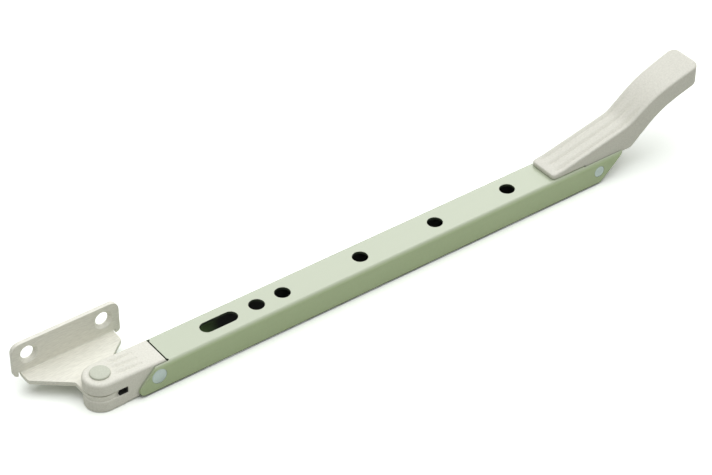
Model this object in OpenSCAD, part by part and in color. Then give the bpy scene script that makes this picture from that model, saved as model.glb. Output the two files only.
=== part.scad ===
// Casement stay: a channel arm with peg holes, hinged on a sash bracket by a fork knuckle,
// with a cranked lever handle pinned into its free end.
// Millimetres. Origin midway between the two screw holes, on the face that meets the sash.
// +X runs along the closed arm towards the handle, +Y into the sash, +Z up.

/* [Sash bracket] */
// Length of the upright plate along the sash
plate_len = 50; // [48:0.2:64]
// Height of the plate's top edge above the tongue
plate_rise = 14.5; // [13:0.1:22]
// Thickness of the folded sheet
sheet = 2; // [1.8:0.1:2.6]
// Radius of the plate's upper corners
plate_corner_r = 4; // [2:0.5:6]
// Depth of the plate's feet below the top of the tongue
foot_drop = 1.3; // [0.2:0.1:2]
// Radius of the feet's outer corners
foot_r = 1.8; // [0.4:0.1:2.4]
// Inside radius of the fold between plate and tongue
fold_r = 0.6; // [0.4:0.1:2]
// Distance between the two screw holes
screw_pitch = 35; // [28:0.5:38]
// Height of the screw holes above the tongue
screw_rise = 7.9; // [7:0.1:10]
// Diameter of each screw hole
screw_d = 6; // [4.5:0.1:6.4]
// Diameter of each countersink on the plate's front
countersink_d = 8.6; // [7.5:0.1:9]
// Distance from the sash face to the pivot rivet
pivot_reach = 27.5; // [25:0.5:36]
// Width of the tongue where it leaves the fold
tongue_w = 43.6; // [38:0.4:44]
// Length of the tongue's square shoulders in front of the plate
tongue_shoulder = 5.3; // [4:0.1:9]
// Distance from the pivot rivet to the flare of the tongue
tongue_neck = 7.6; // [6:0.1:9]
// Gap cut beside the fold so that the sheet bends cleanly
fold_relief = 1; // [0.6:0.1:1.2]

/* [Fork knuckle] */
// Distance from the pivot rivet to the knuckle pin
knuckle_len = 22; // [20:0.5:30]
// Height of the fork at the pivot rivet
fork_h = 13.6; // [12.6:0.1:15]
// Height of the knuckle over the knuckle pin
knuckle_back_h = 12.9; // [11.9:0.1:13.4]
// Depth of the knuckle's underside below the flange edges
knuckle_drop = 0.7; // [0.1:0.1:1]
// Rise of the knuckle's underside at its back, above the flange edges
knuckle_rise = 1.2; // [0.4:0.1:2]
// Length of the stop under the arm's web, from the knuckle pin
stop_len = 9; // [7.5:0.5:12]
// Depth of the fork slot behind the pivot rivet
fork_throat = 8.2; // [8:0.1:11]
// Depth of the lug's middle below the middle of the fork
lug_drop = 0.5; // [0:0.1:1]
// Height of the boss under the lug
boss_h = 0.6; // [0.3:0.1:1.5]
// Radius of the cast edges
cast_edge_r = 1.4; // [0.8:0.1:2]
// Depth of the flutes on the knuckle's top
knuckle_flute_depth = 0.5; // [0.2:0.05:0.7]
// Diameter of the pivot rivet's shank
rivet_d = 6; // [4:0.1:7]
// Diameter of the pivot rivet's head
rivet_head_d = 8.6; // [7.4:0.1:10]
// Height of the pivot rivet's head
rivet_head_h = 1; // [0.6:0.1:1.6]

/* [Arm] */
// Width of the channel over its flanges
arm_w = 18; // [16:0.2:22]
// Height of the channel
arm_h = 12; // [11.4:0.1:13]
// Wall of the channel
arm_wall = 1.2; // [0.8:0.1:1.6]
// Outside radius of the channel's two bends
arm_bend_r = 1.9; // [1.7:0.1:3]
// Slant of the flange ends by the knuckle, in degrees
end_slant = 44.5; // [40:0.5:55]
// Slant of the flange ends by the handle, in degrees
handle_slant = 43; // [40:1:55]
// Distance from the knuckle pin back to the flanges' upper corner
flange_back = 1; // [1:0.1:3]
// Distance from the lever pin to the flanges' lower corner
flange_heel = 1.3; // [0.8:0.1:3]
// Radius of the flanges' rounded toe
toe_r = 2.6; // [1:0.1:3]
// Distance from the knuckle pin to the end of the web
web_setback = 5.2; // [5:0.1:6]
// Length of the web's mouth for the lever, from the lever pin
lever_mouth = 8; // [7.6:0.2:12]
// Radius of the relief notches at the end of the web
notch_r = 0.5; // [0.5:0.1:1.2]
// Diameter of the peg holes
peg_d = 7; // [5:0.1:9]
// Distance from the knuckle pin to the first peg hole
peg_start = 53.4; // [50:0.2:70]
// Distance between the two close peg holes
peg_close_pitch = 13; // [11:0.5:18]
// Distance between the wide peg holes
peg_pitch = 40; // [25:1:60]
// Number of wide steps after the close pair
peg_steps = 3; // [1:1:5]
// Distance from the last peg hole to the lever pin
peg_to_lever = 46; // [38:1:70]
// Width of the slot near the knuckle
slot_w = 6.6; // [5:0.1:8]
// Length of that slot, end to end
slot_len = 17.8; // [12:0.2:20]
// Distance from the knuckle pin to the slot's middle
slot_from_pin = 34.7; // [32:0.1:37]
// Diameter of the knuckle pin
knuckle_pin_d = 7; // [5:0.1:8]
// Height of the knuckle pin above the flange edges
knuckle_pin_z = 7; // [6.6:0.1:7.2]
// Diameter of the lever pin
lever_pin_d = 5.5; // [4:0.1:6.5]
// Height of the lever pin above the flange edges
lever_pin_z = 6.5; // [6:0.1:6.8]

/* [Lever handle] */
// Length of the tip that lies on the arm, from the lever pin
tip_len = 25.9; // [20:0.1:32]
// Thickness of the tip
tip_t = 1.7; // [1.5:0.1:4]
// Radius of the tip's corners, seen from above
tip_corner_r = 1.6; // [1:0.1:4]
// Rise of the tip bar's top, in degrees
tip_slope = 12.2; // [8:0.1:15]
// Reach of the grip beyond the lever pin
grip_reach = 57; // [52:0.2:80]
// Height of the grip's top corner above the arm
grip_rise = 29.5; // [25:0.1:36]
// Width of the grip at its end
grip_w = 18; // [14:0.2:22]
// Rise of the grip's top, in degrees
grip_slope = 15; // [8:0.5:22]
// Depth of the grip at its end
grip_t = 9; // [7:0.2:12]
// Rise of the grip's underside, in degrees
grip_under_slope = 15.6; // [8:0.2:22]
// Start of the crank, from the lever pin
crank_start = 16.6; // [15:0.1:20]
// End of the crank, from the lever pin
crank_end = 32.4; // [29:0.1:40]
// Depth of the heel below the arm's top
heel_drop = 1.5; // [0.8:0.1:3.5]
// Distance from the lever pin to the end of the heel
heel_len = 18.8; // [17:0.1:21]
// Diameter of the hub round the lever pin
hub_d = 9.6; // [8.6:0.2:10.4]
// Radius of the grip's end corners
grip_corner_r = 4; // [2:0.2:6]
// Radius along the lever's long edges
lever_edge_r = 0.8; // [0.5:0.1:1.6]
// Depth of the flutes on the lever's top
lever_flute_depth = 0.45; // [0.2:0.05:0.7]

/* [Fits] */
// Radial running clearance on rivet and pins
pin_run = 0.05; // [0.02:0.01:0.1]
// Radial clearance where a pin is held fast
pin_hold = 0.02; // [0.01:0.01:0.03]
// Side clearance of the knuckle and the lever between the flanges
side_gap = 0.25; // [0.2:0.05:0.4]
// Clearance above the lug in the fork
lug_gap = 0.65; // [0.3:0.05:0.8]
// Clearance below the lug in the fork
lug_seat = 0.1; // [0.05:0.05:0.3]
// Clearance between the knuckle's back and the end of the web
web_gap = 0.8; // [0.6:0.1:1.4]
// Clearance of the arm's cut edges round the knuckle
swing_gap = 0.4; // [0.3:0.05:0.6]
// Clearance between the lever's tip and the arm
seat_gap = 0.1; // [0.05:0.05:0.2]

/* [Hidden] */
$fn = 64;

off_white = "#E9E8DD";
sage = "#C3CDB4";
zinc = "#A9B6B3";
pale_rivet = "#D9DDD2";

// Cutters reach this far past the face they open
past = 1;
// Steps in each rounded corner of an outline
corner_steps = 8;

// Heights above the flange edges
tongue_mid_z = fork_h / 2 - lug_drop;
tongue_top_z = tongue_mid_z + sheet / 2;
tongue_bottom_z = tongue_mid_z - sheet / 2;
screw_z = tongue_top_z + screw_rise;
plate_top_z = tongue_top_z + plate_rise;
web_under_z = arm_h - arm_wall;

// Places along the arm, from the pivot rivet
knuckle_pin_x = knuckle_len;
first_peg_x = knuckle_pin_x + peg_start;
second_peg_x = first_peg_x + peg_close_pitch;
last_peg_x = second_peg_x + peg_steps * peg_pitch;
lever_pin_x = last_peg_x + peg_to_lever;
slot_mid_x = knuckle_pin_x + slot_from_pin;

// The lug's rim lies this far inside the ears' rim
lug_inset = 0.3;
// Widths that follow from the channel
inner_w = arm_w - 2 * arm_wall;
knuckle_w = inner_w - 2 * side_gap;
lever_w = inner_w - 2 * side_gap;
ear_r = knuckle_w / 2;
lug_r = ear_r - lug_inset;

// A quarter turn to and from the side view: outline x along X, outline y along Z, depth along Y
module side_extrude(width) {
    translate([0, width / 2, 0])
        rotate([90, 0, 0])
            linear_extrude(width)
                children();
}

// Everything is drawn from the pivot rivet at flange-edge level, then moved to the bracket's origin
module from_pivot() {
    translate([0, -pivot_reach, -screw_z])
        children();
}

function unit(v) = v / norm(v);
function lerp(a, b, t) = a + (b - a) * t;
function clamp01(t) = min(1, max(0, t));
function smooth(a, b, x) = let (t = clamp01((x - a) / (b - a))) t * t * (3 - 2 * t);

// The arc that rounds corner b between neighbours a and c
function corner_arc(a, b, c, r) =
    let (
        u = unit(a - b),
        v = unit(c - b),
        half = acos(u * v) / 2,
        centre = b + unit(u + v) * (r / sin(half)),
        start = b + u * (r / tan(half)) - centre,
        stop = b + v * (r / tan(half)) - centre,
        a0 = atan2(start[1], start[0]),
        sweep = atan2(stop[1], stop[0]) - a0,
        turn = sweep > 180 ? sweep - 360 : sweep < -180 ? sweep + 360 : sweep
    )
    [for (i = [0:corner_steps])
        let (angle = a0 + turn * i / corner_steps)
        centre + r * [cos(angle), sin(angle)]];

// A closed outline from [point, radius] pairs; a radius of 0 keeps the corner sharp
function rounded(corners) =
    let (n = len(corners))
    [for (i = [0:n - 1])
        let (here = corners[i][0], r = corners[i][1])
        each r > 0 ? corner_arc(corners[(i + n - 1) % n][0], here, corners[(i + 1) % n][0], r) : [here]];

// A block with its two upper edges rounded, in end view
module round_topped(w, h, r) {
    translate([-w / 2, 0])
        square([w, h - r]);
    translate([r - w / 2, 0])
        square([w - 2 * r, h]);
    for (side = [-1, 1])
        translate([side * (w / 2 - r), h - r])
            circle(r);
}

// A round bar or cutter through the part from side to side, centred on the arm
module cross_bar(x, z, d, width) {
    translate([x, width / 2, z])
        rotate([90, 0, 0])
            cylinder(d = d, h = width);
}

// Sash bracket: one sheet, folded once. The plate stands on the sash and the tongue holds the lug.
fold_z = tongue_top_z + fold_r;
fold_y = pivot_reach - sheet - fold_r;

module plate_outline() {
    half = plate_len / 2;
    foot_z = tongue_top_z - foot_drop;
    difference() {
        polygon(rounded([
            [[-half, foot_z], foot_r],
            [[half, foot_z], foot_r],
            [[half, plate_top_z], plate_corner_r],
            [[-half, plate_top_z], plate_corner_r]
        ]));
        fold_room(foot_z - past);
    }
}

// The opening under the plate: the fold's own width, with a relief notch on either side
module fold_room(from_z) {
    leg = tongue_w / 2 + fold_relief;
    translate([-leg, from_z])
        square([2 * leg, fold_z - from_z]);
}

module tongue_outline() {
    half = tongue_w / 2;
    shoulder_y = fold_y - tongue_shoulder;
    shoulder_r = 2;
    flare_r = 1.2;
    polygon(rounded([
        [[half, fold_y], 0],
        [[-half, fold_y], 0],
        [[-half, shoulder_y], shoulder_r],
        [[-lug_r, tongue_neck], flare_r],
        [[-lug_r, 0], 0],
        [[lug_r, 0], 0],
        [[lug_r, tongue_neck], flare_r],
        [[half, shoulder_y], shoulder_r]
    ]));
    circle(lug_r);
}

module fold_section() {
    intersection() {
        translate([fold_y, fold_z])
            difference() {
                circle(fold_r + sheet);
                circle(fold_r);
            }
        translate([fold_y, tongue_bottom_z])
            square(fold_r + sheet);
    }
}

module screw_hole(x) {
    sink = (countersink_d - screw_d) / 2;
    front_y = pivot_reach - sheet;
    translate([x, pivot_reach + past, screw_z])
        rotate([90, 0, 0])
            cylinder(d = screw_d, h = sheet + 2 * past);
    translate([x, front_y + sink, screw_z])
        rotate([90, 0, 0])
            cylinder(d1 = screw_d, d2 = countersink_d, h = sink);
}

module sash_bracket() {
    color(off_white)
        from_pivot()
            difference() {
                union() {
                    translate([0, pivot_reach - sheet / 2, 0])
                        side_extrude(sheet)
                            plate_outline();
                    translate([-tongue_w / 2, 0, 0])
                        rotate([90, 0, 90])
                            linear_extrude(tongue_w)
                                fold_section();
                    translate([0, 0, tongue_bottom_z])
                        linear_extrude(sheet)
                            tongue_outline();
                }
                for (side = [-1, 1])
                    screw_hole(side * screw_pitch / 2);
                cylinder(d = rivet_d + 2 * pin_run, h = plate_top_z);
            }
}

// Pivot rivet: a low round head on the fork, a plain shank and a tail closed flush underneath
rivet_sink = 1.2;
rivet_edge = 0.3;

module pivot_rivet() {
    shank_r = rivet_d / 2;
    head_r = rivet_head_d / 2;
    head_top = fork_h + rivet_head_h;
    tail_z = pin_hold - knuckle_drop;
    color(pale_rivet)
        from_pivot()
            rotate_extrude()
                polygon([
                    [0, tail_z],
                    [shank_r + rivet_sink - 2 * pin_hold, tail_z],
                    [shank_r, tail_z + rivet_sink - 2 * pin_hold],
                    [shank_r, fork_h],
                    [head_r, fork_h],
                    [head_r, head_top - rivet_edge],
                    [head_r - rivet_edge, head_top],
                    [0, head_top]
                ]);
}

// Fork knuckle: a casting with soft edges, slotted for the lug at its nose and bored for the pin at its back
barrel_r = norm([web_setback, web_under_z - knuckle_pin_z]) - swing_gap;
under_edge_r = 0.6;
back_edge_r = 0.8;
// The barrel round the pin lies this far inside the body's faces
barrel_inset = 0.1;
// The boss under the lug lies just inside the lug's rim
boss_r = lug_r - 0.1;

module knuckle_edge_ring(r, z) {
    translate([0, 0, z])
        rotate_extrude($fn = 40)
            translate([ear_r - r, 0])
                circle(r, $fn = 24);
}

module knuckle_body() {
    back_x = knuckle_pin_x + web_setback - web_gap;
    hull() {
        knuckle_edge_ring(cast_edge_r, fork_h - cast_edge_r);
        knuckle_edge_ring(under_edge_r, under_edge_r - knuckle_drop);
        for (side = [-1, 1]) {
            translate([back_x - back_edge_r, side * (ear_r - back_edge_r), knuckle_back_h - back_edge_r])
                sphere(back_edge_r, $fn = 24);
            translate([back_x - under_edge_r, side * (ear_r - under_edge_r), under_edge_r + knuckle_rise])
                sphere(under_edge_r, $fn = 16);
        }
    }
}

module knuckle_barrel() {
    barrel_w = knuckle_w - 2 * barrel_inset;
    trim_z = knuckle_back_h - swing_gap;
    intersection() {
        cross_bar(knuckle_pin_x, knuckle_pin_z, 2 * barrel_r, barrel_w);
        translate([knuckle_pin_x - barrel_r, -knuckle_w / 2, -past])
            cube([2 * barrel_r, knuckle_w, trim_z + past]);
    }
}

module knuckle_stop() {
    stop_w = knuckle_w - 2 * (arm_bend_r - arm_wall);
    stop_top = web_under_z - side_gap;
    stop_bottom = knuckle_pin_z - barrel_r;
    translate([knuckle_pin_x, -stop_w / 2, stop_bottom])
        cube([stop_len, stop_w, stop_top - stop_bottom]);
}

module knuckle_flutes() {
    flute_r = 2;
    flute_pitch = 3.8;
    flute_len = knuckle_len / 2;
    start_x = rivet_head_d / 2 + flute_r;
    fall = atan((fork_h - knuckle_back_h) / knuckle_len);
    for (row = [-1:1])
        translate([start_x, row * flute_pitch, fork_h + flute_r - knuckle_flute_depth])
            rotate([0, 90 + fall / 2, 0]) {
                sphere(flute_r);
                cylinder(r = flute_r, h = flute_len);
            }
}

module fork_slot() {
    slot_floor = tongue_bottom_z - lug_seat - boss_h;
    slot_top = tongue_top_z + lug_gap;
    reach = ear_r + past;
    difference() {
        translate([-reach, -reach, slot_floor])
            cube([reach + fork_throat, 2 * reach, slot_top - slot_floor]);
        translate([0, 0, slot_floor - past])
            cylinder(r = boss_r, h = past + boss_h);
    }
}

module fork_knuckle() {
    hole_r = rivet_d / 2 + pin_hold;
    color(off_white)
        from_pivot()
            difference() {
                union() {
                    knuckle_body();
                    knuckle_barrel();
                    knuckle_stop();
                }
                fork_slot();
                knuckle_flutes();
                translate([0, 0, -knuckle_drop - past])
                    cylinder(r = hole_r, h = fork_h + knuckle_drop + 2 * past);
                translate([0, 0, -knuckle_drop])
                    cylinder(r1 = hole_r + rivet_sink, r2 = hole_r, h = rivet_sink);
                cross_bar(knuckle_pin_x, knuckle_pin_z, knuckle_pin_d + 2 * pin_run, arm_w);
            }
}

// Hinge pins: plain bars, dressed flush with the flanges
pin_edge = 0.25;

module flush_pin(x, z, d) {
    translate([x, arm_w / 2, z])
        rotate([90, 0, 0]) {
            cylinder(d1 = d - 2 * pin_edge, d2 = d, h = pin_edge);
            translate([0, 0, pin_edge])
                cylinder(d = d, h = arm_w - 2 * pin_edge);
            translate([0, 0, arm_w - pin_edge])
                cylinder(d1 = d, d2 = d - 2 * pin_edge, h = pin_edge);
        }
}

module knuckle_pin() {
    color(zinc)
        from_pivot()
            flush_pin(knuckle_pin_x, knuckle_pin_z, knuckle_pin_d);
}

module lever_pin() {
    color(zinc)
        from_pivot()
            flush_pin(lever_pin_x, lever_pin_z, lever_pin_d);
}

// Stay arm: one channel, open below, with slanted flange ends and a web cut back at both ends
arm_start_x = knuckle_pin_x - flange_back - arm_h / tan(end_slant);
arm_end_x = lever_pin_x + flange_heel + arm_h / tan(handle_slant);

module channel_section() {
    difference() {
        round_topped(arm_w, arm_h, arm_bend_r);
        translate([0, -past])
            round_topped(inner_w, web_under_z + past, arm_bend_r - arm_wall);
    }
}

module arm_side_outline() {
    corner_r = 0.6;
    blunt = 0.3;
    over = past / tan(end_slant);
    polygon(rounded([
        [[arm_start_x, 0], toe_r],
        [[lever_pin_x + flange_heel, 0], corner_r],
        [[arm_end_x - blunt, arm_h - blunt * tan(handle_slant)], 0],
        [[arm_end_x - blunt, arm_h + past], 0],
        [[knuckle_pin_x - flange_back + over, arm_h + past], 0]
    ]));
}

module web_cut(from_x, to_x) {
    under = arm_h - arm_bend_r - past;
    translate([from_x, -inner_w / 2, under])
        cube([to_x - from_x, inner_w, arm_h + past - under]);
}

module web_hole(x, d) {
    translate([x, 0, web_under_z - past])
        cylinder(d = d, h = arm_wall + 2 * past);
}

module web_slot() {
    half_run = (slot_len - slot_w) / 2;
    web_hole(slot_mid_x - half_run, slot_w);
    web_hole(slot_mid_x + half_run, slot_w);
    translate([slot_mid_x - half_run, -slot_w / 2, web_under_z - past])
        cube([2 * half_run, slot_w, arm_wall + 2 * past]);
}

module stay_arm() {
    web_end_x = knuckle_pin_x + web_setback;
    notch_inset = 0.15;
    color(sage)
        from_pivot()
            difference() {
                intersection() {
                    translate([arm_start_x, 0, 0])
                        rotate([90, 0, 90])
                            linear_extrude(arm_end_x - arm_start_x)
                                channel_section();
                    side_extrude(arm_w + 2 * past)
                        arm_side_outline();
                }
                web_cut(arm_start_x, web_end_x);
                web_cut(lever_pin_x - lever_mouth, arm_end_x + past);
                for (side = [-1, 1])
                    translate([0, side * (inner_w / 2 - notch_r - notch_inset), 0])
                        web_hole(web_end_x, 2 * notch_r);
                web_slot();
                web_hole(first_peg_x, peg_d);
                for (step = [0:peg_steps])
                    web_hole(second_peg_x + step * peg_pitch, peg_d);
                cross_bar(knuckle_pin_x, knuckle_pin_z, knuckle_pin_d + 2 * pin_hold, arm_w + 2 * past);
                cross_bar(lever_pin_x, lever_pin_z, lever_pin_d + 2 * pin_hold, arm_w + 2 * past);
            }
}

// Lever handle: a casting lofted through upright sections, cranked between its tip and its grip.
// Stations are measured from the lever pin, heights from the flange edges.
hub_floor_z = lever_pin_z + 1;
heel_z = arm_h - heel_drop;
lever_under_r = lever_edge_r / 2;
tip_edge_r = 0.5;
grip_end_z = arm_h + grip_rise;
crank_under_end = crank_end + 2.1;
// How softly the crank turns into the grip, above and below, and out of the tip bar and the heel
crank_soft = 1.8;
crank_under_soft = 3;
tip_soft = 0.5;
heel_soft = 0.3;

function soft_min(a, b, k) = (a + b) / 2 - sqrt(pow((a - b) / 2, 2) + k * k);
function soft_max(a, b, k) = (a + b) / 2 + sqrt(pow((a - b) / 2, 2) + k * k);
function through(x0, z0, x1, z1, u) = z0 + (z1 - z0) * (u - x0) / (x1 - x0);

function tip_line(u) = arm_h + tip_t + tan(tip_slope) * (u + tip_len);
function grip_line(u) = grip_end_z - tan(grip_slope) * (grip_reach - u);
function grip_under_line(u) = grip_end_z - grip_t - tan(grip_under_slope) * (grip_reach - u);
function crank_line(u) = through(crank_start, tip_line(crank_start), crank_end, grip_line(crank_end), u);
function crank_under_line(u) =
    through(heel_len, heel_z, crank_under_end, grip_under_line(crank_under_end), u);
function lever_top(u) = soft_max(tip_line(u), soft_min(crank_line(u), grip_line(u), crank_soft), tip_soft);

// The underside lies on the web, drops into the web's mouth, runs to the heel and climbs to the grip
mouth_start = 0.4 - lever_mouth;
mouth_stop = mouth_start + 1.2;
function heel_line(u) =
    let (
        hub_r = hub_d / 2,
        seat = lerp(arm_h + seat_gap, hub_floor_z, smooth(mouth_start, mouth_stop, u))
    )
    lerp(seat, heel_z, smooth(hub_r / 2, 2 * hub_r + 1, u));
function lever_under(u) =
    soft_max(heel_line(u), soft_min(crank_under_line(u), grip_under_line(u), crank_under_soft), heel_soft);

// The bar keeps its width between the flanges and widens evenly from the crank to the grip's end
function lever_half(u) = lerp(lever_w, grip_w, clamp01((u - crank_start) / (grip_reach - crank_start))) / 2;

// How far the outline draws in towards the rounded ends of the grip and the tip
function round_off(past_start, r) = let (t = max(0, past_start)) r - sqrt(max(0, r * r - t * t));
function grip_inset(u, r) = round_off(u - grip_reach + r, r);
function tip_inset(u, r) = round_off(r - tip_len - u, r);

// Three shallow flutes along the top, fading out on the crank
flute_half = 1.3;
flute_pitch = 5.1;
flute_lead = 1.5;
flute_run_in = 4;
flute_run_out = 16;

function flute_fade(u) =
    let (first = flute_lead - tip_len)
    smooth(first, first + flute_run_in, u) * (1 - smooth(crank_start, crank_start + flute_run_out, u));
function flute_dip(u, y) =
    let (off = min([for (row = [-1:1]) abs(y - row * flute_pitch)]) / flute_half)
    lever_flute_depth * flute_fade(u) * max(0, 1 - off * off);

edge_steps = 3;
top_steps = 26;

function edge_arc(y, z, r, from) =
    [for (i = [0:edge_steps])
        let (angle = from + 90 * i / edge_steps)
        [y + r * cos(angle), z + r * sin(angle)]];

function lever_section(u) =
    let (
        half = lever_half(u) - grip_inset(u, grip_corner_r) - tip_inset(u, tip_corner_r),
        top = lever_top(u) - grip_inset(u, lever_edge_r) - tip_inset(u, tip_edge_r),
        under = lever_under(u) + grip_inset(u, lever_edge_r),
        top_r = min(lever_edge_r, (top - under) / 2),
        under_r = min(lever_under_r, (top - under) / 4),
        run = half - top_r
    )
    concat(
        edge_arc(under_r - half, under + under_r, under_r, 180),
        edge_arc(half - under_r, under + under_r, under_r, 270),
        edge_arc(run, top - top_r, top_r, 0),
        [for (i = [1:top_steps - 1])
            let (y = run * (1 - 2 * i / top_steps))
            [y, top - flute_dip(u, y)]],
        edge_arc(-run, top - top_r, top_r, 90)
    );

// Sections stand close together where the outline turns sharply
station_pitch = 2.4;
close_pitch = 0.8;
end_stations = 6;
tip_stations = 3;

function span(a, b, pitch) =
    let (n = max(0, ceil((b - a) / pitch)))
    [for (i = [0:1:n - 1]) lerp(a, b, i / n)];

function lever_stations() =
    let (
        start = tip_corner_r - tip_len,
        stop = grip_reach - grip_corner_r,
        turn_start = crank_start - 2,
        turn_stop = heel_len + 4
    )
    concat(
        [for (i = [0:tip_stations - 1]) -tip_len + tip_corner_r * (1 - cos(90 * i / tip_stations))],
        span(start, mouth_start, station_pitch),
        span(mouth_start, mouth_stop, close_pitch / 2),
        span(mouth_stop, turn_start, station_pitch),
        span(turn_start, turn_stop, close_pitch),
        span(turn_stop, stop, station_pitch),
        [for (i = [0:end_stations]) stop + grip_corner_r * sin(90 * i / end_stations)]
    );

module lever_loft() {
    stations = lever_stations();
    rings = [for (u = stations) [for (p = lever_section(u)) [u, p[0], p[1]]]];
    count = len(rings[0]);
    last = (len(rings) - 1) * count;
    sides = [
        for (i = [0:len(rings) - 2])
            for (j = [0:count - 1])
                let (
                    a = i * count + j,
                    b = i * count + (j + 1) % count
                )
                each [[a, a + count, b], [a + count, b + count, b]]
    ];
    near_cap = [for (j = [0:count - 1]) j];
    far_cap = [for (j = [count - 1:-1:0]) last + j];
    polyhedron([for (ring = rings) each ring], concat(sides, [near_cap, far_cap]), convexity = 6);
}

module lever_handle() {
    color(off_white)
        from_pivot()
            difference() {
                union() {
                    translate([lever_pin_x, 0, 0])
                        lever_loft();
                    cross_bar(lever_pin_x, lever_pin_z, hub_d, lever_w);
                }
                cross_bar(lever_pin_x, lever_pin_z, lever_pin_d + 2 * pin_run, arm_w);
            }
}

sash_bracket();
pivot_rivet();
fork_knuckle();
knuckle_pin();
stay_arm();
lever_pin();
lever_handle();
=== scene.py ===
"""Looks of a casement stay: a channel arm with a cranked lever, a fork knuckle and a folded sash bracket."""

import logging
import math
from dataclasses import dataclass
from enum import Enum
from typing import Any, Sequence

import bmesh
import bpy
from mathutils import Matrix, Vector


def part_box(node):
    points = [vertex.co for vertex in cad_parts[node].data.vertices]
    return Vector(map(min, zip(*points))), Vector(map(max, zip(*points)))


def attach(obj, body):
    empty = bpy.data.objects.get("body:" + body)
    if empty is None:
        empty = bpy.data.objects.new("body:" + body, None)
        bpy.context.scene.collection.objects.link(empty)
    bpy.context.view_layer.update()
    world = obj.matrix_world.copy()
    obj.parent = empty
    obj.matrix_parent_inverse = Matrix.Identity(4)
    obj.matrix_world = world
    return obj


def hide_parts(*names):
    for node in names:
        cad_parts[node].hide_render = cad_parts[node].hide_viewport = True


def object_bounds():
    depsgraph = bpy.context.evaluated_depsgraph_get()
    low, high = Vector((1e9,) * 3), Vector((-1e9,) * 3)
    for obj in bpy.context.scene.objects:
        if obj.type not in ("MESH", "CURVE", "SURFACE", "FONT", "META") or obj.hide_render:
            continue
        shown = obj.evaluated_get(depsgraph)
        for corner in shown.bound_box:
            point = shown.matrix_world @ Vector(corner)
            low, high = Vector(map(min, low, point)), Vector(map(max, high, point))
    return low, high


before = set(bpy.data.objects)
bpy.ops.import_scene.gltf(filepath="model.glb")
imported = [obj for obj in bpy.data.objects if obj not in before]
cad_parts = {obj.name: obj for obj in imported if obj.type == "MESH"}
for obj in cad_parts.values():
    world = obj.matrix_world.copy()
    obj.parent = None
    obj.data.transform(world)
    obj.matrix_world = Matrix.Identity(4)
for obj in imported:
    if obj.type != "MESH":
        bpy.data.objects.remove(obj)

LOG = logging.getLogger("casement_stay")
MM = 0.001
CAD_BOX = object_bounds()
# Corners of the CAD triangles closer than this are one corner
MERGE_MM = 0.0005
# Edges sharper than this, in degrees, stay crisp on a turned piece, and none do on a casting
TURNED_CRISP = 40.0
CAST_CRISP = 180.0
# Colour sockets of a Mix node, which come after others of the same names
MIX_A, MIX_B, MIX_RESULT = 6, 7, 2
# Places of a piece's finishes after its main one
SECOND, THIRD = 1, 2


class Body(Enum):
    """The rigid bodies of the stay."""

    BRACKET = "bracket"
    KNUCKLE = "knuckle"
    ARM = "arm"
    LEVER = "lever"


class Slot(Enum):
    """The record's material slots."""

    OFF_WHITE = "off_white_paint"
    SAGE = "sage_paint"
    ZINC = "zinc_pin"
    RIVET = "pale_rivet"


class Axis(Enum):
    """The directions of the frame, by their place in a point."""

    X = 0
    Y = 1
    Z = 2


def linear(colour: str) -> tuple[float, float, float, float]:
    """Turns an sRGB hex colour to linear light, by the curve of the sRGB standard.

    Args:
        colour: the colour as "#RRGGBB".

    Returns:
        Linear red, green, blue and an alpha of one.
    """
    channels = [int(colour[i:i + 2], 16) / 255 for i in (1, 3, 5)]
    r, g, b = [c / 12.92 if c <= 0.04045 else ((c + 0.055) / 1.055) ** 2.4 for c in channels]
    return r, g, b, 1.0


def add_node(
    tree: bpy.types.NodeTree, kind: str, inputs: dict[Any, Any] | None = None, **settings: Any
) -> bpy.types.Node:
    """Adds a node with its settings, values and links.

    Args:
        tree: the node tree that gets the node.
        kind: the node's type name.
        inputs: socket name or index to a plain value, or to an output socket to link.
        settings: attributes of the node itself.

    Returns:
        The new node.
    """
    node = tree.nodes.new(kind)
    for name, value in settings.items():
        setattr(node, name, value)
    for key, value in (inputs or {}).items():
        socket = node.inputs[key]
        if isinstance(value, bpy.types.NodeSocket):
            tree.links.new(value, socket)
        else:
            socket.default_value = value
    return node


def empty_material(name: str) -> bpy.types.Material:
    """Makes a material that has no nodes yet.

    Args:
        name: the material's name.

    Returns:
        The new material.
    """
    material = bpy.data.materials.new(name)
    material.use_nodes = True
    material.node_tree.nodes.clear()
    return material


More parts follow.
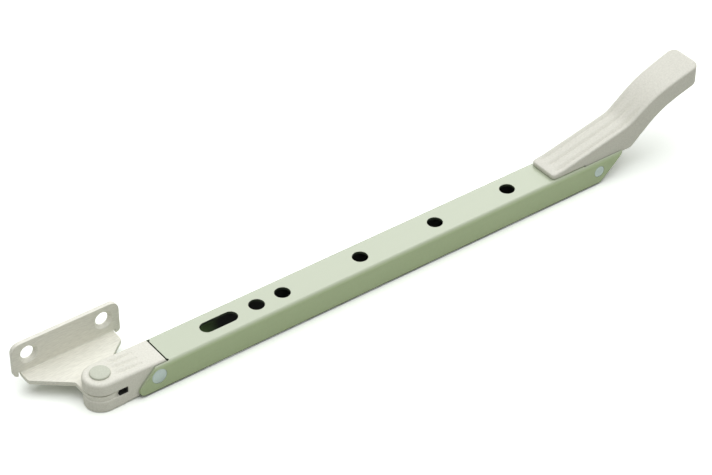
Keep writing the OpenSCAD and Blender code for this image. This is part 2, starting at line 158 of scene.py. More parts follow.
@dataclass(frozen=True)
class Paint:
    """A paint film on metal: its colour, its gloss and the fine texture of its surface.

    The film is a dielectric over metal, so it keeps a plain IOR and no metallic share. The grain is the
    film's own orange peel or pebble, drawn a little coarser than the real one so that it shows at the
    render's size. A streak under one draws the grain out along X. A top sheen is painted sheen: faces
    that look upwards are mixed towards its paler, greyer colour.
    """

    name: str
    colour: str
    shade: str
    roughness: float
    grain_mm: float
    grain_depth_mm: float
    streak: float = 1.0
    ior: float = 1.5
    top_sheen: str | None = None
    detail: float = 2.0
    detail_roughness: float = 0.55
    mottle_range: tuple[float, float] = (0.3, 0.7)
    top_sheen_range: tuple[float, float] = (0.3, 0.95)

    def build(self) -> bpy.types.Material:
        """Makes the material.

        Returns:
            The finished material.
        """
        material = empty_material(self.name)
        tree = material.node_tree
        place = add_node(tree, "ShaderNodeTexCoord").outputs
        stretch = add_node(
            tree, "ShaderNodeMapping", {"Vector": place["Object"], "Scale": (self.streak, 1.0, 1.0)})
        grain = add_node(tree, "ShaderNodeTexNoise", {
            "Vector": stretch.outputs["Vector"], "Scale": 1 / (self.grain_mm * MM), "Detail": self.detail,
            "Roughness": self.detail_roughness}).outputs["Fac"]
        low, high = self.mottle_range
        mottle = add_node(tree, "ShaderNodeMapRange", {"Value": grain, "From Min": low, "From Max": high})
        film = add_node(
            tree, "ShaderNodeMix",
            {"Factor": mottle.outputs["Result"], MIX_A: linear(self.colour), MIX_B: linear(self.shade)},
            data_type="RGBA").outputs[MIX_RESULT]
        # Painted sheen: faces that look upwards are mixed towards a paler, greyer colour
        if self.top_sheen:
            low, high = self.top_sheen_range
            upwards = add_node(tree, "ShaderNodeSeparateXYZ", {"Vector": place["Normal"]}).outputs["Z"]
            sheen_share = add_node(
                tree, "ShaderNodeMapRange", {"Value": upwards, "From Min": low, "From Max": high})
            film = add_node(
                tree, "ShaderNodeMix",
                {"Factor": sheen_share.outputs["Result"], MIX_A: film, MIX_B: linear(self.top_sheen)},
                data_type="RGBA").outputs[MIX_RESULT]
        bump = add_node(
            tree, "ShaderNodeBump", {"Height": grain, "Strength": 1.0, "Distance": self.grain_depth_mm * MM})
        shader = add_node(tree, "ShaderNodeBsdfPrincipled", {
            "Base Color": film, "Roughness": self.roughness, "IOR": self.ior,
            "Normal": bump.outputs["Normal"]})
        add_node(tree, "ShaderNodeOutputMaterial", {"Surface": shader.outputs["BSDF"]})
        return material


@dataclass(frozen=True)
class ZincPlate:
    """Dull zinc plate on turned steel: bluish grey, metallic, with a mottled crystal grain."""

    name: str
    colour: str
    shade: str
    roughness: float
    grain_mm: float
    metallic: float = 0.55
    detail: float = 3.0
    detail_roughness: float = 0.6

    def build(self) -> bpy.types.Material:
        """Makes the material.

        Returns:
            The finished material.
        """
        material = empty_material(self.name)
        tree = material.node_tree
        place = add_node(tree, "ShaderNodeTexCoord").outputs
        grain = add_node(tree, "ShaderNodeTexNoise", {
            "Vector": place["Object"], "Scale": 1 / (self.grain_mm * MM), "Detail": self.detail,
            "Roughness": self.detail_roughness})
        tone = add_node(
            tree, "ShaderNodeMix",
            {"Factor": grain.outputs["Fac"], MIX_A: linear(self.colour), MIX_B: linear(self.shade)},
            data_type="RGBA")
        shader = add_node(tree, "ShaderNodeBsdfPrincipled", {
            "Base Color": tone.outputs[MIX_RESULT], "Roughness": self.roughness, "Metallic": self.metallic})
        add_node(tree, "ShaderNodeOutputMaterial", {"Surface": shader.outputs["BSDF"]})
        return material


@dataclass(frozen=True)
class FadingShade:
    """Painted shade inside a channel: a darker green near the open ends that fades to near black further in.

    The two reaches say where the fade to the deep shade starts, from the channel's low and high ends.
    """

    name: str
    coat: str
    deep_shade: str
    roughness: float
    reach_mm: tuple[float, float]
    fade_mm: float

    def build(self, low: float, high: float) -> bpy.types.Material:
        """Makes the material.

        Args:
            low: X of the channel's low end, in metres.
            high: X of its high end, in metres.

        Returns:
            The finished material.
        """
        material = empty_material(self.name)
        tree = material.node_tree
        place = add_node(tree, "ShaderNodeTexCoord").outputs
        along = add_node(tree, "ShaderNodeSeparateXYZ", {"Vector": place["Object"]}).outputs["X"]
        from_low = add_node(
            tree, "ShaderNodeMath", {0: along, 1: low + self.reach_mm[0] * MM}, operation="SUBTRACT")
        from_high = add_node(
            tree, "ShaderNodeMath", {0: high - self.reach_mm[1] * MM, 1: along}, operation="SUBTRACT")
        depth = add_node(
            tree, "ShaderNodeMath", {0: from_low.outputs[0], 1: from_high.outputs[0]}, operation="MINIMUM")
        into_shade = add_node(
            tree, "ShaderNodeMapRange", {"Value": depth.outputs[0], "From Max": self.fade_mm * MM})
        # Painted shade: greener near the open ends, near black further in
        tone = add_node(
            tree, "ShaderNodeMix",
            {"Factor": into_shade.outputs["Result"], MIX_A: linear(self.coat), MIX_B: linear(self.deep_shade)},
            data_type="RGBA")
        shader = add_node(tree, "ShaderNodeBsdfPrincipled", {
            "Base Color": tone.outputs[MIX_RESULT], "Roughness": self.roughness})
        add_node(tree, "ShaderNodeOutputMaterial", {"Surface": shader.outputs["BSDF"]})
        return material


# A matt film mirrors less than a gloss one
MATT_IOR = 1.36
# Powder coat baked on a die casting: matt, pebbled like an egg shell
CAST_COAT = Paint(
    "Off-white powder coat on zinc casting", "#EAE9DF", "#DEDDD2",
    roughness=0.6, grain_mm=0.7, grain_depth_mm=0.035, ior=MATT_IOR)
# The same coat on the lever, a little greyer
LEVER_COAT = Paint(
    "Greyer off-white powder coat on the zinc lever", "#DEDDD3", "#D2D1C7",
    roughness=0.6, grain_mm=0.7, grain_depth_mm=0.03, ior=MATT_IOR)
# The same coat on smooth sheet, drawn out along the rolling direction
SHEET_COAT = Paint(
    "Off-white powder coat on folded steel", "#F3F2E7", "#E1E0D5",
    roughness=0.55, grain_mm=0.5, grain_depth_mm=0.012, streak=0.15, ior=MATT_IOR)
# Satin stove paint on rolled steel: smooth, a soft sheen, and painted sheen that turns the faces looking
# upwards paler and greyer
SAGE_COAT = Paint(
    "Sage green satin paint on rolled steel", "#AFC094", "#ACBD91",
    roughness=0.36, grain_mm=0.9, grain_depth_mm=0.004, top_sheen="#AEB7A0")
# Paint on the formed rivet head: thinner than the casting's coat, and smoother
RIVET_COAT = Paint(
    "Pale paint on steel rivet", "#C9CDBE", "#C1C5B5",
    roughness=0.55, grain_mm=0.8, grain_depth_mm=0.01, ior=MATT_IOR)
# Painted shade inside the channel: darker green near the ends, then near black, which keeps the peg holes
# dark
CHANNEL_SHADE_PAINT = FadingShade(
    "Painted shade inside the rolled channel", "#75945A", "#0E110B",
    roughness=0.7, reach_mm=(40.0, 26.0), fade_mm=9.0)
# Painted shade on the hole walls, the web's end faces and the flanges' under edges: a thin dark line
EDGE_SHADE_PAINT = Paint(
    "Painted dark shade line on hole walls and under edges", "#2F3A26", "#252E1D", roughness=0.6, grain_mm=0.7, grain_depth_mm=0.01)
# Painted shade in the fork slot's throat: dark and dull
THROAT_SHADE_PAINT = Paint(
    "Painted shade in the fork's throat", "#2E2F2B", "#242521",
    roughness=0.7, grain_mm=0.7, grain_depth_mm=0.02)
# Dull electroplate on a drawn bar: bluish grey, with a fine crystal mottle
PIN_PLATE = ZincPlate("Dull zinc plate on steel pin", "#BDC9C6", "#A6B4B0", roughness=0.55, grain_mm=0.6)


def ease(first: float, last: float, place: float) -> float:
    """Rises smoothly from nought at the first place to one at the last.

    Args:
        first: where the rise starts.
        last: where it ends.
        place: the place asked for.

    Returns:
        The share of the rise there.
    """
    share = min(1.0, max(0.0, (place - first) / (last - first)))
    return share * share * (3 - 2 * share)


def merged_copy(node: str) -> bmesh.types.BMesh:
    """Copies a CAD node's loose triangles into one connected mesh.

    Args:
        node: the CAD node's name.

    Returns:
        A mesh whose shared corners are merged.
    """
    solid = bmesh.new()
    solid.from_mesh(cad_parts[node].data)
    bmesh.ops.remove_doubles(solid, verts=solid.verts, dist=MERGE_MM * MM)
    return solid


def plain_mesh(name: str, solid: bmesh.types.BMesh) -> bpy.types.Mesh:
    """Turns a working mesh into one that an object can hold, and frees it.

    Args:
        name: the new mesh's name.
        solid: the working mesh.

    Returns:
        The new mesh.
    """
    mesh = bpy.data.meshes.new(name)
    solid.to_mesh(mesh)
    solid.free()
    return mesh


def add_object(name: str, data: bpy.types.ID) -> bpy.types.Object:
    """Adds an object to the scene, at the origin.

    Args:
        name: the object's name.
        data: its mesh, lamp or camera.

    Returns:
        The new object.
    """
    item = bpy.data.objects.new(name, data)
    bpy.context.scene.collection.objects.link(item)
    return item


def evaluated_mesh(source: bpy.types.Object) -> bpy.types.Mesh:
    """Works an object's modifiers into a plain mesh, and clears them from the object.

    Args:
        source: the object, with its modifiers set.

    Returns:
        The evaluated mesh.
    """
    bpy.context.view_layer.update()
    depsgraph = bpy.context.evaluated_depsgraph_get()
    mesh = bpy.data.meshes.new_from_object(source.evaluated_get(depsgraph), depsgraph=depsgraph)
    source.modifiers.clear()
    return mesh


def used_up(source: bpy.types.Object) -> bpy.types.Mesh:
    """Turns a working object into its evaluated mesh and removes the object.

    Args:
        source: the object, with its modifiers set.

    Returns:
        The evaluated mesh.
    """
    mesh = evaluated_mesh(source)
    bpy.data.objects.remove(source)
    return mesh


def show(
    name: str, mesh: bpy.types.Mesh, materials: Sequence[bpy.types.Material], crisp_angle: float
) -> bpy.types.Object:
    """Puts a finished mesh into the scene.

    Args:
        name: the piece's name.
        mesh: its mesh, already in place.
        materials: its finishes, the main one first, which every face starts with.
        crisp_angle: edges sharper than this many degrees stay crisp.

    Returns:
        The new object at the origin.
    """
    mesh.name = name
    mesh.materials.clear()
    for material in materials:
        mesh.materials.append(material)
    mesh.polygons.foreach_set("use_smooth", [True] * len(mesh.polygons))
    mesh.polygons.foreach_set("material_index", [0] * len(mesh.polygons))
    mesh.set_sharp_from_angle(angle=math.radians(crisp_angle))
    mesh.update()
    return add_object(name, mesh)


def weight_normals(piece: bpy.types.Object) -> None:
    """Lets a piece's large flat faces keep their own normals, so that they shade evenly up to their edges.

    Args:
        piece: the object, its sharp edges and finishes already set.
    """
    piece.modifiers.new("normals", "WEIGHTED_NORMAL").keep_sharp = True
    mesh = evaluated_mesh(piece)
    plain = piece.data
    piece.data = mesh
    bpy.data.meshes.remove(plain)
    mesh.name = piece.name


@dataclass
class Piece:
    """One visible piece that stands for a CAD node."""

    node: str
    body: Body
    slot: Slot
    finish: Paint | ZincPlate

    def settle(self, piece: bpy.types.Object, *nodes: str) -> None:
        """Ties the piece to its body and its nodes.

        Args:
            piece: the finished object.
            nodes: the CAD nodes it stands for, if not just its own.
        """
        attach(piece, self.body.value)
        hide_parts(*(nodes or (self.node,)))
        LOG.info("%s: %d faces", self.node, len(piece.data.polygons))


@dataclass(frozen=True)
class Bore:
    """A round hole that a casting keeps open for a pin."""

    pin: str
    axis: Axis
    radius_mm: float

    def ream(self, mesh: bpy.types.Mesh) -> None:
        """Moves the corners that lie inside the hole out to its wall.

        Args:
            mesh: the casting's mesh.
        """
        low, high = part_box(self.pin)
        middle = (low + high) / 2
        i, j = [axis.value for axis in Axis if axis is not self.axis]
        radius = self.radius_mm * MM
        for corner in mesh.vertices:
            off_i, off_j = corner.co[i] - middle[i], corner.co[j] - middle[j]
            reach = math.hypot(off_i, off_j)
            if 0 < reach < radius:
                corner.co[i] = middle[i] + off_i * radius / reach
                corner.co[j] = middle[j] + off_j * radius / reach


@dataclass(frozen=True)
class Throat:
    """The back of a casting's slot, drawn in painted shade.

    Its depth runs from the casting's low X, its height from its lowest point, and its lip is the coated rim
    at either side.
    """

    finish: Paint
    depth_mm: tuple[float, float]
    height_mm: tuple[float, float]
    lip_mm: float

    def strip(self, mesh: bpy.types.Mesh, low: Vector, high: Vector) -> None:
        """Gives the throat's walls the painted shade finish, which is the mesh's second one.

        Args:
            mesh: the casting's mesh.
            low: the casting's low corner.
            high: its high corner.
        """
        first, last = [low.x + depth * MM for depth in self.depth_mm]
        floor, roof = [low.z + height * MM for height in self.height_mm]
        for face in mesh.polygons:
            x, y, z = face.center
            beside = low.y + self.lip_mm * MM < y < high.y - self.lip_mm * MM
            if first < x < last and floor < z < roof and beside:
                face.material_index = SECOND


@dataclass(frozen=True)
class FluteRun:
    """The creased floors of a casting's flutes, and the depth that the solid's flutes lose before their end.

    Places along the casting are measured from its pin. The creases begin at first, reach their depth over
    the run-in, hold it up to the hold and fade out by the end. Where the solid's flutes lose depth sooner
    than that, from the loss on, their floors are pressed down as well. Only faces above the pin that look
    up enough are pressed.
    """

    pin: str
    pitch_mm: float
    half_mm: float
    first_mm: float
    run_in_mm: float
    hold_mm: float
    end_mm: float
    crease_mm: float
    crease_half_mm: float
    lost_depth_mm: float = 0.0
    loss_mm: float = 0.0
    rows: tuple[int, ...] = (-1, 0, 1)
    looks_up: float = 0.4

    def press(self, mesh: bpy.types.Mesh) -> None:
        """Presses the flutes' floors down, most along their middles.

        Args:
            mesh: the casting's mesh.
        """
        low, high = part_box(self.pin)
        middle = (low + high) / 2
        normals = [corner.normal.copy() for corner in mesh.vertices]
        for corner, normal in zip(mesh.vertices, normals):
            along, across, above = (corner.co - middle) / MM
            off = min(abs(across - row * self.pitch_mm) for row in self.rows)
            on_top = normal.z > self.looks_up and above > 0
            if self.first_mm < along < self.end_mm and off < self.half_mm and on_top:
                fade = ease(self.hold_mm, self.end_mm, along)
                lost = ease(self.loss_mm, self.end_mm, along) - fade
                floor = self.lost_depth_mm * lost * (1 - (off / self.half_mm) ** 2)
                share = ease(self.first_mm, self.first_mm + self.run_in_mm, along) * (1 - fade)
                crease = self.crease_mm * share * max(0.0, 1 - off / self.crease_half_mm)
                corner.co -= normal * ((floor + crease) * MM)


@dataclass(frozen=True)
class BluntTip:
    """The end of a casting's thin tip, whose wall stands higher than the solid's.

    Heights are measured from the piece that the tip lies over, and the reach from the tip's end. The wall
    grows between its root and its shoulder, so that the rounded edge above keeps its shape.
    """

    seat: str
    root_mm: float
    shoulder_mm: float
    lift_mm: float
    reach_mm: float

    def raise_top(self, mesh: bpy.types.Mesh, end: float) -> None:
        """Lifts the tip's top, most at its end.

        Args:
            mesh: the casting's mesh.
            end: X of the tip's end, in metres.
        """
        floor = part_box(self.seat)[1].z
        for corner in mesh.vertices:
            inward = (corner.co.x - end) / MM
            if inward < self.reach_mm:
                share = ease(self.root_mm, self.shoulder_mm, (corner.co.z - floor) / MM)
                corner.co.z += self.lift_mm * MM * share * (1 - ease(0.0, self.reach_mm, inward))


@dataclass
class SoftCasting(Piece):
    """A die casting: the solid with every edge softened, as a mould leaves it, and its bores reamed."""

    voxel_mm: float
    smooth_passes: int
    smooth_factor: float = 0.5
    bores: tuple[Bore, ...] = ()
    throat: Throat | None = None
    flutes: FluteRun | None = None
    tip: BluntTip | None = None

    def soften(self) -> bpy.types.Mesh:
        """Rounds the solid's edges with a fine remesh.

        Returns:
            The casting's mesh.
        """
        source = add_object(self.node + "_source", plain_mesh(self.node + "_solid", merged_copy(self.node)))
        remesh = source.modifiers.new("voxels", "REMESH")
        remesh.mode = "VOXEL"
        remesh.voxel_size = self.voxel_mm * MM
        smooth = source.modifiers.new("soften", "SMOOTH")
        smooth.factor = self.smooth_factor
        smooth.iterations = self.smooth_passes
        return used_up(source)

    def build(self) -> bpy.types.Object:
        """Makes the casting.

        Returns:
            The finished object.
        """
        mesh = self.soften()
        for bore in self.bores:
            bore.ream(mesh)
        if self.flutes:
            self.flutes.press(mesh)
        low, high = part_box(self.node)
        if self.tip:
            self.tip.raise_top(mesh, low.x)
        finishes = [self.finish.build()]
        if self.throat:
            finishes.append(self.throat.finish.build())
        piece = show(self.node + "_casting", mesh, finishes, CAST_CRISP)
        if self.throat:
            self.throat.strip(piece.data, low, high)
        self.settle(piece)
        return piece


@dataclass
class SheetPiece(Piece):
    """A piece pressed from sheet: the solid with its cut edges lightly rounded by the paint."""

    edge_mm: float = 0.15
    edge_angle: float = 32.0
    edge_steps: int = 3
    flat_angle: float = 0.5

    def roll_rims(self, solid: bmesh.types.BMesh) -> None:
        """Rounds the rims that the rolls leave rounder than the rest, on a piece that has any."""

    def sheet(self) -> bpy.types.Mesh:
        """Rounds the solid's edges.

        Returns:
            The sheet's mesh.
        """
        solid = merged_copy(self.node)
        bmesh.ops.dissolve_limit(
            solid, angle_limit=math.radians(self.flat_angle), verts=solid.verts, edges=solid.edges,
            use_dissolve_boundaries=False)
        self.roll_rims(solid)
        source = add_object(self.node + "_source", plain_mesh(self.node + "_solid", solid))
        bevel = source.modifiers.new("edges", "BEVEL")
        bevel.width = self.edge_mm * MM
        bevel.segments = self.edge_steps
        bevel.limit_method = "ANGLE"
        bevel.angle_limit = math.radians(self.edge_angle)
        return used_up(source)

    def build(self) -> bpy.types.Object:
        """Makes the sheet piece.

        Returns:
            The finished object.
        """
        piece = show(self.node + "_sheet", self.sheet(), [self.finish.build()], self.edge_angle)
        weight_normals(piece)
        self.settle(piece)
        return piece


@dataclass
class ChannelArm(SheetPiece):
    """The rolled channel: sage outside, painted shade inside and on its hole walls and under edges, the rims
    of its flanges rolled round.

    The bend is how far the round of the web reaches below the web's underside, and the skin is how far a face
    may lie outside the inner walls and still belong to them. A face is a wall when its normal's height is
    under the first slope, and an under edge when it is under the second.
    """

    # Painted shade inside the channel, and a painted dark line on its hole walls and under edges
    inner_shade: FadingShade = CHANNEL_SHADE_PAINT
    edge: Paint = EDGE_SHADE_PAINT
    wall_mm: float = 1.2
    bend_mm: float = 0.8
    rim_mm: float = 0.45
    rim_profile: float = 0.5
    bore_margin_mm: float = 0.3
    skin_mm: float = 0.02
    wall_slope: float = 0.5
    under_slope: float = -0.15
    pins: tuple[str, ...] = ()

    def roll_rims(self, solid: bmesh.types.BMesh) -> None:
        """Rounds the flanges' rims, but not the bores for the pins.

        Args:
            solid: the arm's mesh, changed in place.
        """
        below_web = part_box(self.node)[1].z - (self.wall_mm + self.bend_mm) * MM
        bores = []
        for low, high in map(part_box, self.pins):
            bores.append(((low + high) / 2, (high.x - low.x) / 2 + self.bore_margin_mm * MM))
        rims = []
        for edge in solid.edges:
            middle = (edge.verts[0].co + edge.verts[1].co) / 2
            in_bore = any(
                math.hypot(middle.x - axis.x, middle.z - axis.z) < radius for axis, radius in bores)
            crisp = edge.calc_face_angle(0.0) > math.radians(self.edge_angle)
            if crisp and not in_bore and max(corner.co.z for corner in edge.verts) < below_web:
                rims.append(edge)
        bmesh.ops.bevel(
            solid, geom=rims, offset=self.rim_mm * MM, offset_type="OFFSET", segments=self.edge_steps,
            profile=self.rim_profile, affect="EDGES", clamp_overlap=True)

    def dress(self, mesh: bpy.types.Mesh, low: Vector, high: Vector) -> None:
        """Gives the inner walls the painted inner shade, and the punched walls and under edges a painted dark
        shade line.

        Args:
            mesh: the arm's mesh, with its painted inner shade second and its painted edge shade third.
            low: the arm's low corner.
            high: its high corner.
        """
        middle = (low.y + high.y) / 2
        wall = (self.wall_mm - self.skin_mm) * MM
        half = (high.y - low.y) / 2 - wall
        ceiling = high.z - wall
        for face in mesh.polygons:
            off = face.center.y - middle
            inside = abs(off) < half
            faces_in = face.normal.y * off < 0 or face.normal.z < -self.wall_slope
            punched = inside and abs(face.normal.z) < self.wall_slope
            # Painted shade: inner walls get the dark inner shade, hole walls, web ends and under edges a dark
            # line
            if inside and face.center.z < ceiling and faces_in:
                face.material_index = SECOND
            elif punched or face.normal.z < self.under_slope:
                face.material_index = THIRD

    def build(self) -> bpy.types.Object:
        """Makes the arm.

        Returns:
            The finished object.
        """
        low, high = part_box(self.node)
        finishes = [self.finish.build(), self.inner_shade.build(low.x, high.x), self.edge.build()]
        piece = show(self.node + "_sheet", self.sheet(), finishes, self.edge_angle)
        self.dress(piece.data, low, high)
        weight_normals(piece)
        self.settle(piece)
        return piece


@dataclass
class HingePins(Piece):
    """The arm's two hinge pins, dressed flush with its flanges: one node tree draws them both."""

    others: tuple[str, ...] = ()
    rim_mm: float = 0.25
    rim_share: float = 0.07
    sides: int = 72
    rings: int = 97

    def pin_tree(self) -> bpy.types.NodeTree:
        """Builds the tree that sets a bar with rounded rims on every point, at the point's own radius.

        Returns:
            The node tree, with named inputs for the pins' sizes.
        """
        tree = bpy.data.node_groups.new("flush_pins", "GeometryNodeTree")
        sockets = {
            "Points": "NodeSocketGeometry", "Length": "NodeSocketFloat", "Rim": "NodeSocketFloat",
            "Rim share": "NodeSocketFloat", "Sides": "NodeSocketInt", "Rings": "NodeSocketInt",
            "Finish": "NodeSocketMaterial"}
        for name, kind in sockets.items():
            tree.interface.new_socket(name=name, in_out="INPUT", socket_type=kind)
        tree.interface.new_socket(name="Pins", in_out="OUTPUT", socket_type="NodeSocketGeometry")
        sizes = add_node(tree, "NodeGroupInput").outputs
        half = add_node(tree, "ShaderNodeMath", {0: sizes["Length"], 1: 0.5}, operation="MULTIPLY")
        minus = add_node(tree, "ShaderNodeMath", {0: sizes["Length"], 1: -0.5}, operation="MULTIPLY")
        axis = add_node(tree, "GeometryNodeCurvePrimitiveLine", {
            "Start": add_node(tree, "ShaderNodeCombineXYZ", {"Y": minus.outputs[0]}).outputs[0],
            "End": add_node(tree, "ShaderNodeCombineXYZ", {"Y": half.outputs[0]}).outputs[0]})
        rail = add_node(
            tree, "GeometryNodeResampleCurve", {"Curve": axis.outputs[0], "Count": sizes["Rings"]})
        along = add_node(tree, "GeometryNodeSplineParameter").outputs["Length"]
        rest = add_node(tree, "ShaderNodeMath", {0: sizes["Length"], 1: along}, operation="SUBTRACT")
        from_end = add_node(tree, "ShaderNodeMath", {0: along, 1: rest.outputs[0]}, operation="MINIMUM")
        share = add_node(
            tree, "ShaderNodeMath", {0: from_end.outputs[0], 1: sizes["Rim"]}, operation="DIVIDE")
        fall = add_node(
            tree, "ShaderNodeMath", {0: 1.0, 1: share.outputs[0]}, operation="SUBTRACT", use_clamp=True)
        square = add_node(tree, "ShaderNodeMath", {0: fall.outputs[0], 1: 2.0}, operation="POWER")
        inner = add_node(tree, "ShaderNodeMath", {0: 1.0, 1: square.outputs[0]}, operation="SUBTRACT")
        arc = add_node(tree, "ShaderNodeMath", {0: inner.outputs[0]}, operation="SQRT")
        dip = add_node(tree, "ShaderNodeMath", {0: 1.0, 1: arc.outputs[0]}, operation="SUBTRACT")
        draw_in = add_node(
            tree, "ShaderNodeMath", {0: dip.outputs[0], 1: sizes["Rim share"]}, operation="MULTIPLY")
        width = add_node(tree, "ShaderNodeMath", {0: 1.0, 1: draw_in.outputs[0]}, operation="SUBTRACT")
        ring = add_node(
            tree, "GeometryNodeCurvePrimitiveCircle", {"Resolution": sizes["Sides"], "Radius": 1.0})
        bar = add_node(tree, "GeometryNodeCurveToMesh", {
            "Curve": rail.outputs[0], "Profile Curve": ring.outputs[0], "Scale": width.outputs[0],
            "Fill Caps": True})
        radius = add_node(
            tree, "GeometryNodeInputNamedAttribute", {"Name": "pin_radius"}, data_type="FLOAT").outputs[0]
        scale = add_node(tree, "ShaderNodeCombineXYZ", {"X": radius, "Y": 1.0, "Z": radius})
        pins = add_node(tree, "GeometryNodeInstanceOnPoints", {
            "Points": sizes["Points"], "Instance": bar.outputs[0], "Scale": scale.outputs[0]})
        real = add_node(tree, "GeometryNodeRealizeInstances", {"Geometry": pins.outputs[0]})
        dressed = add_node(
            tree, "GeometryNodeSetMaterial", {"Geometry": real.outputs[0], "Material": sizes["Finish"]})
        add_node(tree, "NodeGroupOutput", {"Pins": dressed.outputs[0]})
        return tree

    def build(self) -> bpy.types.Object:
        """Sets the pins on their hinge axes.

        Returns:
            The finished object.
        """
        nodes = (self.node, *self.others)
        boxes = [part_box(node) for node in nodes]
        mesh = bpy.data.meshes.new("pin_places")
        mesh.from_pydata([(low + high) / 2 for low, high in boxes], [], [])
        radii = mesh.attributes.new("pin_radius", "FLOAT", "POINT")
        radii.data.foreach_set("value", [(high.x - low.x) / 2 for low, high in boxes])
        source = add_object("pin_places", mesh)
        finish = self.finish.build()
        low, high = boxes[0]
        sizes = {
            "Length": high.y - low.y, "Rim": self.rim_mm * MM, "Rim share": self.rim_share,
            "Sides": self.sides, "Rings": self.rings, "Finish": finish}
        modifier = source.modifiers.new("pins", "NODES")
        modifier.node_group = self.pin_tree()
        for item in modifier.node_group.interface.items_tree:
            if item.in_out == "INPUT" and item.name in sizes:
                modifier[item.identifier] = sizes[item.name]
        piece = show("hinge_pins", used_up(source), [finish], TURNED_CRISP)
        self.settle(piece, *nodes)
        return piece


@dataclass
class HeadedRivet(Piece):
    """The pivot rivet: a low head with a rounded rim over a plain shank, closed flush below.

    The head's crown falls by the given share of its height at the given share of its radius.
    """

    segments: int = 72
    shank_mm: float = 3.0
    head_mm: float = 1.0
    under_mm: float = 0.1
    rim_mm: float = 0.45
    rim_steps: int = 5
    crown_mm: float = 0.12
    crown_reach: float = 0.55
    crown_fall: float = 0.3
    tail_mm: float = 1.0

    def profile(self, radius: float, length: float) -> list[tuple[float, float]]:
        """Gives the rivet's outline from its tail to its head.

        Args:
            radius: the head's radius, in metres.
            length: the rivet's length, in metres.

        Returns:
            Radius and height pairs, from the tail upwards.
        """
        shank, tail = self.shank_mm * MM, self.tail_mm * MM
        rim, crown = self.rim_mm * MM, self.crown_mm * MM
        under_head = length - self.head_mm * MM
        turns = [math.radians(90 * i / self.rim_steps) for i in range(self.rim_steps + 1)]
        arc = [
            (radius - rim + rim * math.cos(turn), length - crown - rim + rim * math.sin(turn))
            for turn in turns]
        return [
            (0.0, 0.0), (shank + tail, 0.0), (shank, tail), (shank, under_head),
            (radius - self.under_mm * MM, under_head), *arc,
            (radius * self.crown_reach, length - self.crown_fall * crown), (0.0, length)]

    def build(self) -> bpy.types.Object:
        """Spins the outline about the rivet's axis.

        Returns:
            The finished object.
        """
        low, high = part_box(self.node)
        middle = (low + high) / 2
        solid = bmesh.new()
        previous: list[bmesh.types.BMVert] = []
        for r, z in self.profile((high.x - low.x) / 2, high.z - low.z):
            ring = []
            for i in range(1 if r == 0 else self.segments):
                turn = math.tau * i / self.segments
                place = (middle.x + r * math.cos(turn), middle.y + r * math.sin(turn), low.z + z)
                ring.append(solid.verts.new(place))
            self.join(solid, previous, ring)
            previous = ring
        bmesh.ops.recalc_face_normals(solid, faces=solid.faces)
        name = self.node + "_turned"
        piece = show(name, plain_mesh(name, solid), [self.finish.build()], TURNED_CRISP)
        self.settle(piece)
        return piece

    @staticmethod
    def join(
        solid: bmesh.types.BMesh, lower: Sequence[bmesh.types.BMVert], upper: Sequence[bmesh.types.BMVert]
    ) -> None:
        """Joins two rings of corners, either of which may be a single pole.

        Args:
            solid: the mesh that gets the faces.
            lower: the ring below, or nothing for the first ring.
            upper: the ring above.
        """
        count = max(len(lower), len(upper))
        for i in range(count if lower else 0):
            k = (i + 1) % count
            below = [lower[i % len(lower)], lower[k % len(lower)]]
            above = [upper[k % len(upper)], upper[i % len(upper)]]
            solid.faces.new(list(dict.fromkeys(below + above)))


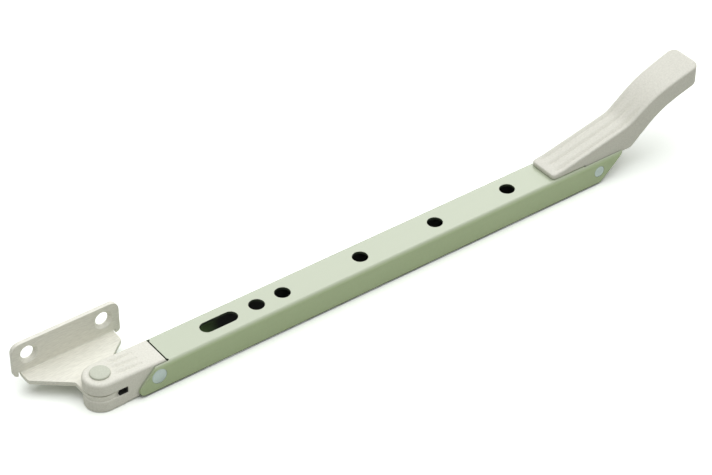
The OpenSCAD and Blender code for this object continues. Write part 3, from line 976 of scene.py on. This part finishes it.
@dataclass
class Studio:
    """A pale floor, a broad overhead softbox, a reflection card, an even sky and the camera of the view.

    Sizes of the floor and the lamps are in metres, and so are the lamps' places, from the point that the
    camera looks at. The floor that the eye sees is over white, so that it comes out white under this light,
    and the light that it throws on the object is that of a plain pale floor.
    """

    target_mm: tuple[float, float, float] = (134.52, -16.36, 12.4)
    azimuth: float = -36.445
    elevation: float = 38.152
    distance_mm: float = 1026.93
    lens_mm: float = 121.9
    clip: tuple[float, float] = (0.05, 50.0)
    floor_half: float = 4.0
    floor_gap_mm: float = 0.02
    floor_white: tuple[float, float, float] = (1.28, 1.32, 1.29)
    floor_bounce: str = "#C9CBC3"
    softbox: float = 2.0
    softbox_power: float = 21.0
    softbox_place: tuple[float, float, float] = (0.1, 0.0, 1.2)
    card: float = 1.6
    card_power: float = 24.5
    card_distance: float = 1.4
    sky: float = 0.25
    sky_colour: str = "#F6F7F2"

    def target(self) -> Vector:
        """Gives the point that the camera looks at, its height taken from the arm's lower edges."""
        x, y, rise = self.target_mm
        return Vector((x * MM, y * MM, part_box("stay_arm")[0].z + rise * MM))

    def back(self) -> Vector:
        """Gives the direction from the object to the camera, of length one."""
        a, e = math.radians(self.azimuth), math.radians(self.elevation)
        return Vector((math.sin(a) * math.cos(e), -math.cos(a) * math.cos(e), math.sin(e)))

    def place_camera(self) -> None:
        """Puts the camera at the view's angle."""
        data = bpy.data.cameras.new("view")
        data.lens = self.lens_mm
        data.clip_start, data.clip_end = self.clip
        camera = add_object("view", data)
        camera.rotation_mode = "QUATERNION"
        camera.location = self.target() + self.back() * self.distance_mm * MM
        camera.rotation_quaternion = (-self.back()).to_track_quat("-Z", "Y")
        bpy.context.scene.camera = camera

    @staticmethod
    def seen_rays(tree: bpy.types.NodeTree) -> bpy.types.NodeSocket:
        """Picks out the rays that show a surface to the eye, directly or in a reflection.

        Args:
            tree: the node tree that asks.

        Returns:
            A socket that is one for camera, glossy and transmission rays.
        """
        ray = add_node(tree, "ShaderNodeLightPath").outputs
        direct = add_node(
            tree, "ShaderNodeMath", {0: ray["Is Camera Ray"], 1: ray["Is Glossy Ray"]}, operation="MAXIMUM")
        seen = add_node(
            tree, "ShaderNodeMath", {0: direct.outputs[0], 1: ray["Is Transmission Ray"]},
            operation="MAXIMUM")
        return seen.outputs[0]

    def lay_floor(self) -> None:
        """Lays the floor under the lowest point of the object."""
        level = CAD_BOX[0].z - self.floor_gap_mm * MM
        half = self.floor_half
        corners = [(-half, -half, level), (half, -half, level), (half, half, level), (-half, half, level)]
        mesh = bpy.data.meshes.new("floor")
        mesh.from_pydata(corners, [], [(0, 1, 2, 3)])
        floor = add_object("floor", mesh)
        material = empty_material("White studio floor")
        tree = material.node_tree
        bounce = add_node(tree, "ShaderNodeBsdfDiffuse", {"Color": linear(self.floor_bounce)})
        sweep = add_node(tree, "ShaderNodeBsdfDiffuse", {"Color": (*self.floor_white, 1.0)})
        seen = add_node(
            tree, "ShaderNodeMixShader", {0: self.seen_rays(tree), 1: bounce.outputs[0], 2: sweep.outputs[0]})
        add_node(tree, "ShaderNodeOutputMaterial", {"Surface": seen.outputs[0]})
        mesh.materials.append(material)

    def hang_lamp(self, name: str, size: float, power: float, offset: Vector) -> bpy.types.Object:
        """Hangs a square lamp that faces the object.

        Args:
            name: the lamp's name.
            size: the length of its sides, in metres.
            power: its power, in watts.
            offset: its place, from the point that the camera looks at.

        Returns:
            The lamp.
        """
        data = bpy.data.lights.new(name, "AREA")
        data.shape = "SQUARE"
        data.size = size
        data.energy = power
        lamp = add_object(name, data)
        lamp.location = self.target() + offset
        lamp.rotation_mode = "QUATERNION"
        lamp.rotation_quaternion = (-offset).to_track_quat("-Z", "Y")
        return lamp

    def light(self) -> None:
        """Hangs the softbox overhead and the card behind, where upper faces mirror it, and sets the sky."""
        self.hang_lamp("softbox", self.softbox, self.softbox_power, Vector(self.softbox_place))
        x, y, z = self.back() * self.card_distance
        card = self.hang_lamp("card", self.card, self.card_power, Vector((-x, -y, z)))
        card.visible_diffuse = False
        world = bpy.data.worlds.new("studio")
        world.use_nodes = True
        tree = world.node_tree
        tree.nodes.clear()
        dim = add_node(
            tree, "ShaderNodeBackground", {"Color": linear(self.sky_colour), "Strength": self.sky})
        bright = add_node(tree, "ShaderNodeBackground", {"Color": (1.0, 1.0, 1.0, 1.0), "Strength": 1.0})
        mixed = add_node(
            tree, "ShaderNodeMixShader", {0: self.seen_rays(tree), 1: dim.outputs[0], 2: bright.outputs[0]})
        add_node(tree, "ShaderNodeOutputWorld", {"Surface": mixed.outputs[0]})
        bpy.context.scene.world = world

    def build(self) -> None:
        """Sets up the whole studio."""
        self.place_camera()
        self.lay_floor()
        self.light()
        bpy.context.scene.view_settings.view_transform = "Standard"


def main() -> None:
    """Builds the pieces in order, from the sash to the grip, and then the studio."""
    logging.basicConfig(level=logging.INFO)
    SheetPiece("sash_bracket", Body.BRACKET, Slot.OFF_WHITE, SHEET_COAT, edge_mm=0.3).build()
    HeadedRivet("pivot_rivet", Body.KNUCKLE, Slot.RIVET, RIVET_COAT).build()
    knuckle_flutes = FluteRun(
        "pivot_rivet", pitch_mm=3.8, half_mm=1.3, first_mm=5.6, run_in_mm=3.0, hold_mm=13.5, end_mm=17.5,
        crease_mm=0.35, crease_half_mm=0.65)
    SoftCasting(
        "fork_knuckle", Body.KNUCKLE, Slot.OFF_WHITE, CAST_COAT, voxel_mm=0.2, smooth_passes=4,
        bores=(Bore("pivot_rivet", Axis.Z, radius_mm=3.04), Bore("knuckle_pin", Axis.Y, radius_mm=3.55)),
        # The throat's walls are drawn in painted shade
        throat=Throat(THROAT_SHADE_PAINT, depth_mm=(11.8, 16.2), height_mm=(5.1, 8.85), lip_mm=0.5),
        flutes=knuckle_flutes).build()
    ChannelArm("stay_arm", Body.ARM, Slot.SAGE, SAGE_COAT, pins=("knuckle_pin", "lever_pin")).build()
    HingePins("knuckle_pin", Body.ARM, Slot.ZINC, PIN_PLATE, others=("lever_pin",)).build()
    lever_flutes = FluteRun(
        "lever_pin", pitch_mm=5.1, half_mm=1.3, first_mm=-24.4, run_in_mm=4.0, hold_mm=20.5, end_mm=27.5,
        crease_mm=0.25, crease_half_mm=0.55, lost_depth_mm=0.45, loss_mm=16.6)
    SoftCasting(
        "lever_handle", Body.LEVER, Slot.OFF_WHITE, LEVER_COAT, voxel_mm=0.26, smooth_passes=2,
        bores=(Bore("lever_pin", Axis.Y, radius_mm=2.8),), flutes=lever_flutes,
        tip=BluntTip("stay_arm", root_mm=0.2, shoulder_mm=0.7, lift_mm=0.5, reach_mm=8.0)).build()
    Studio().build()


if __name__ == "__main__":
    main()
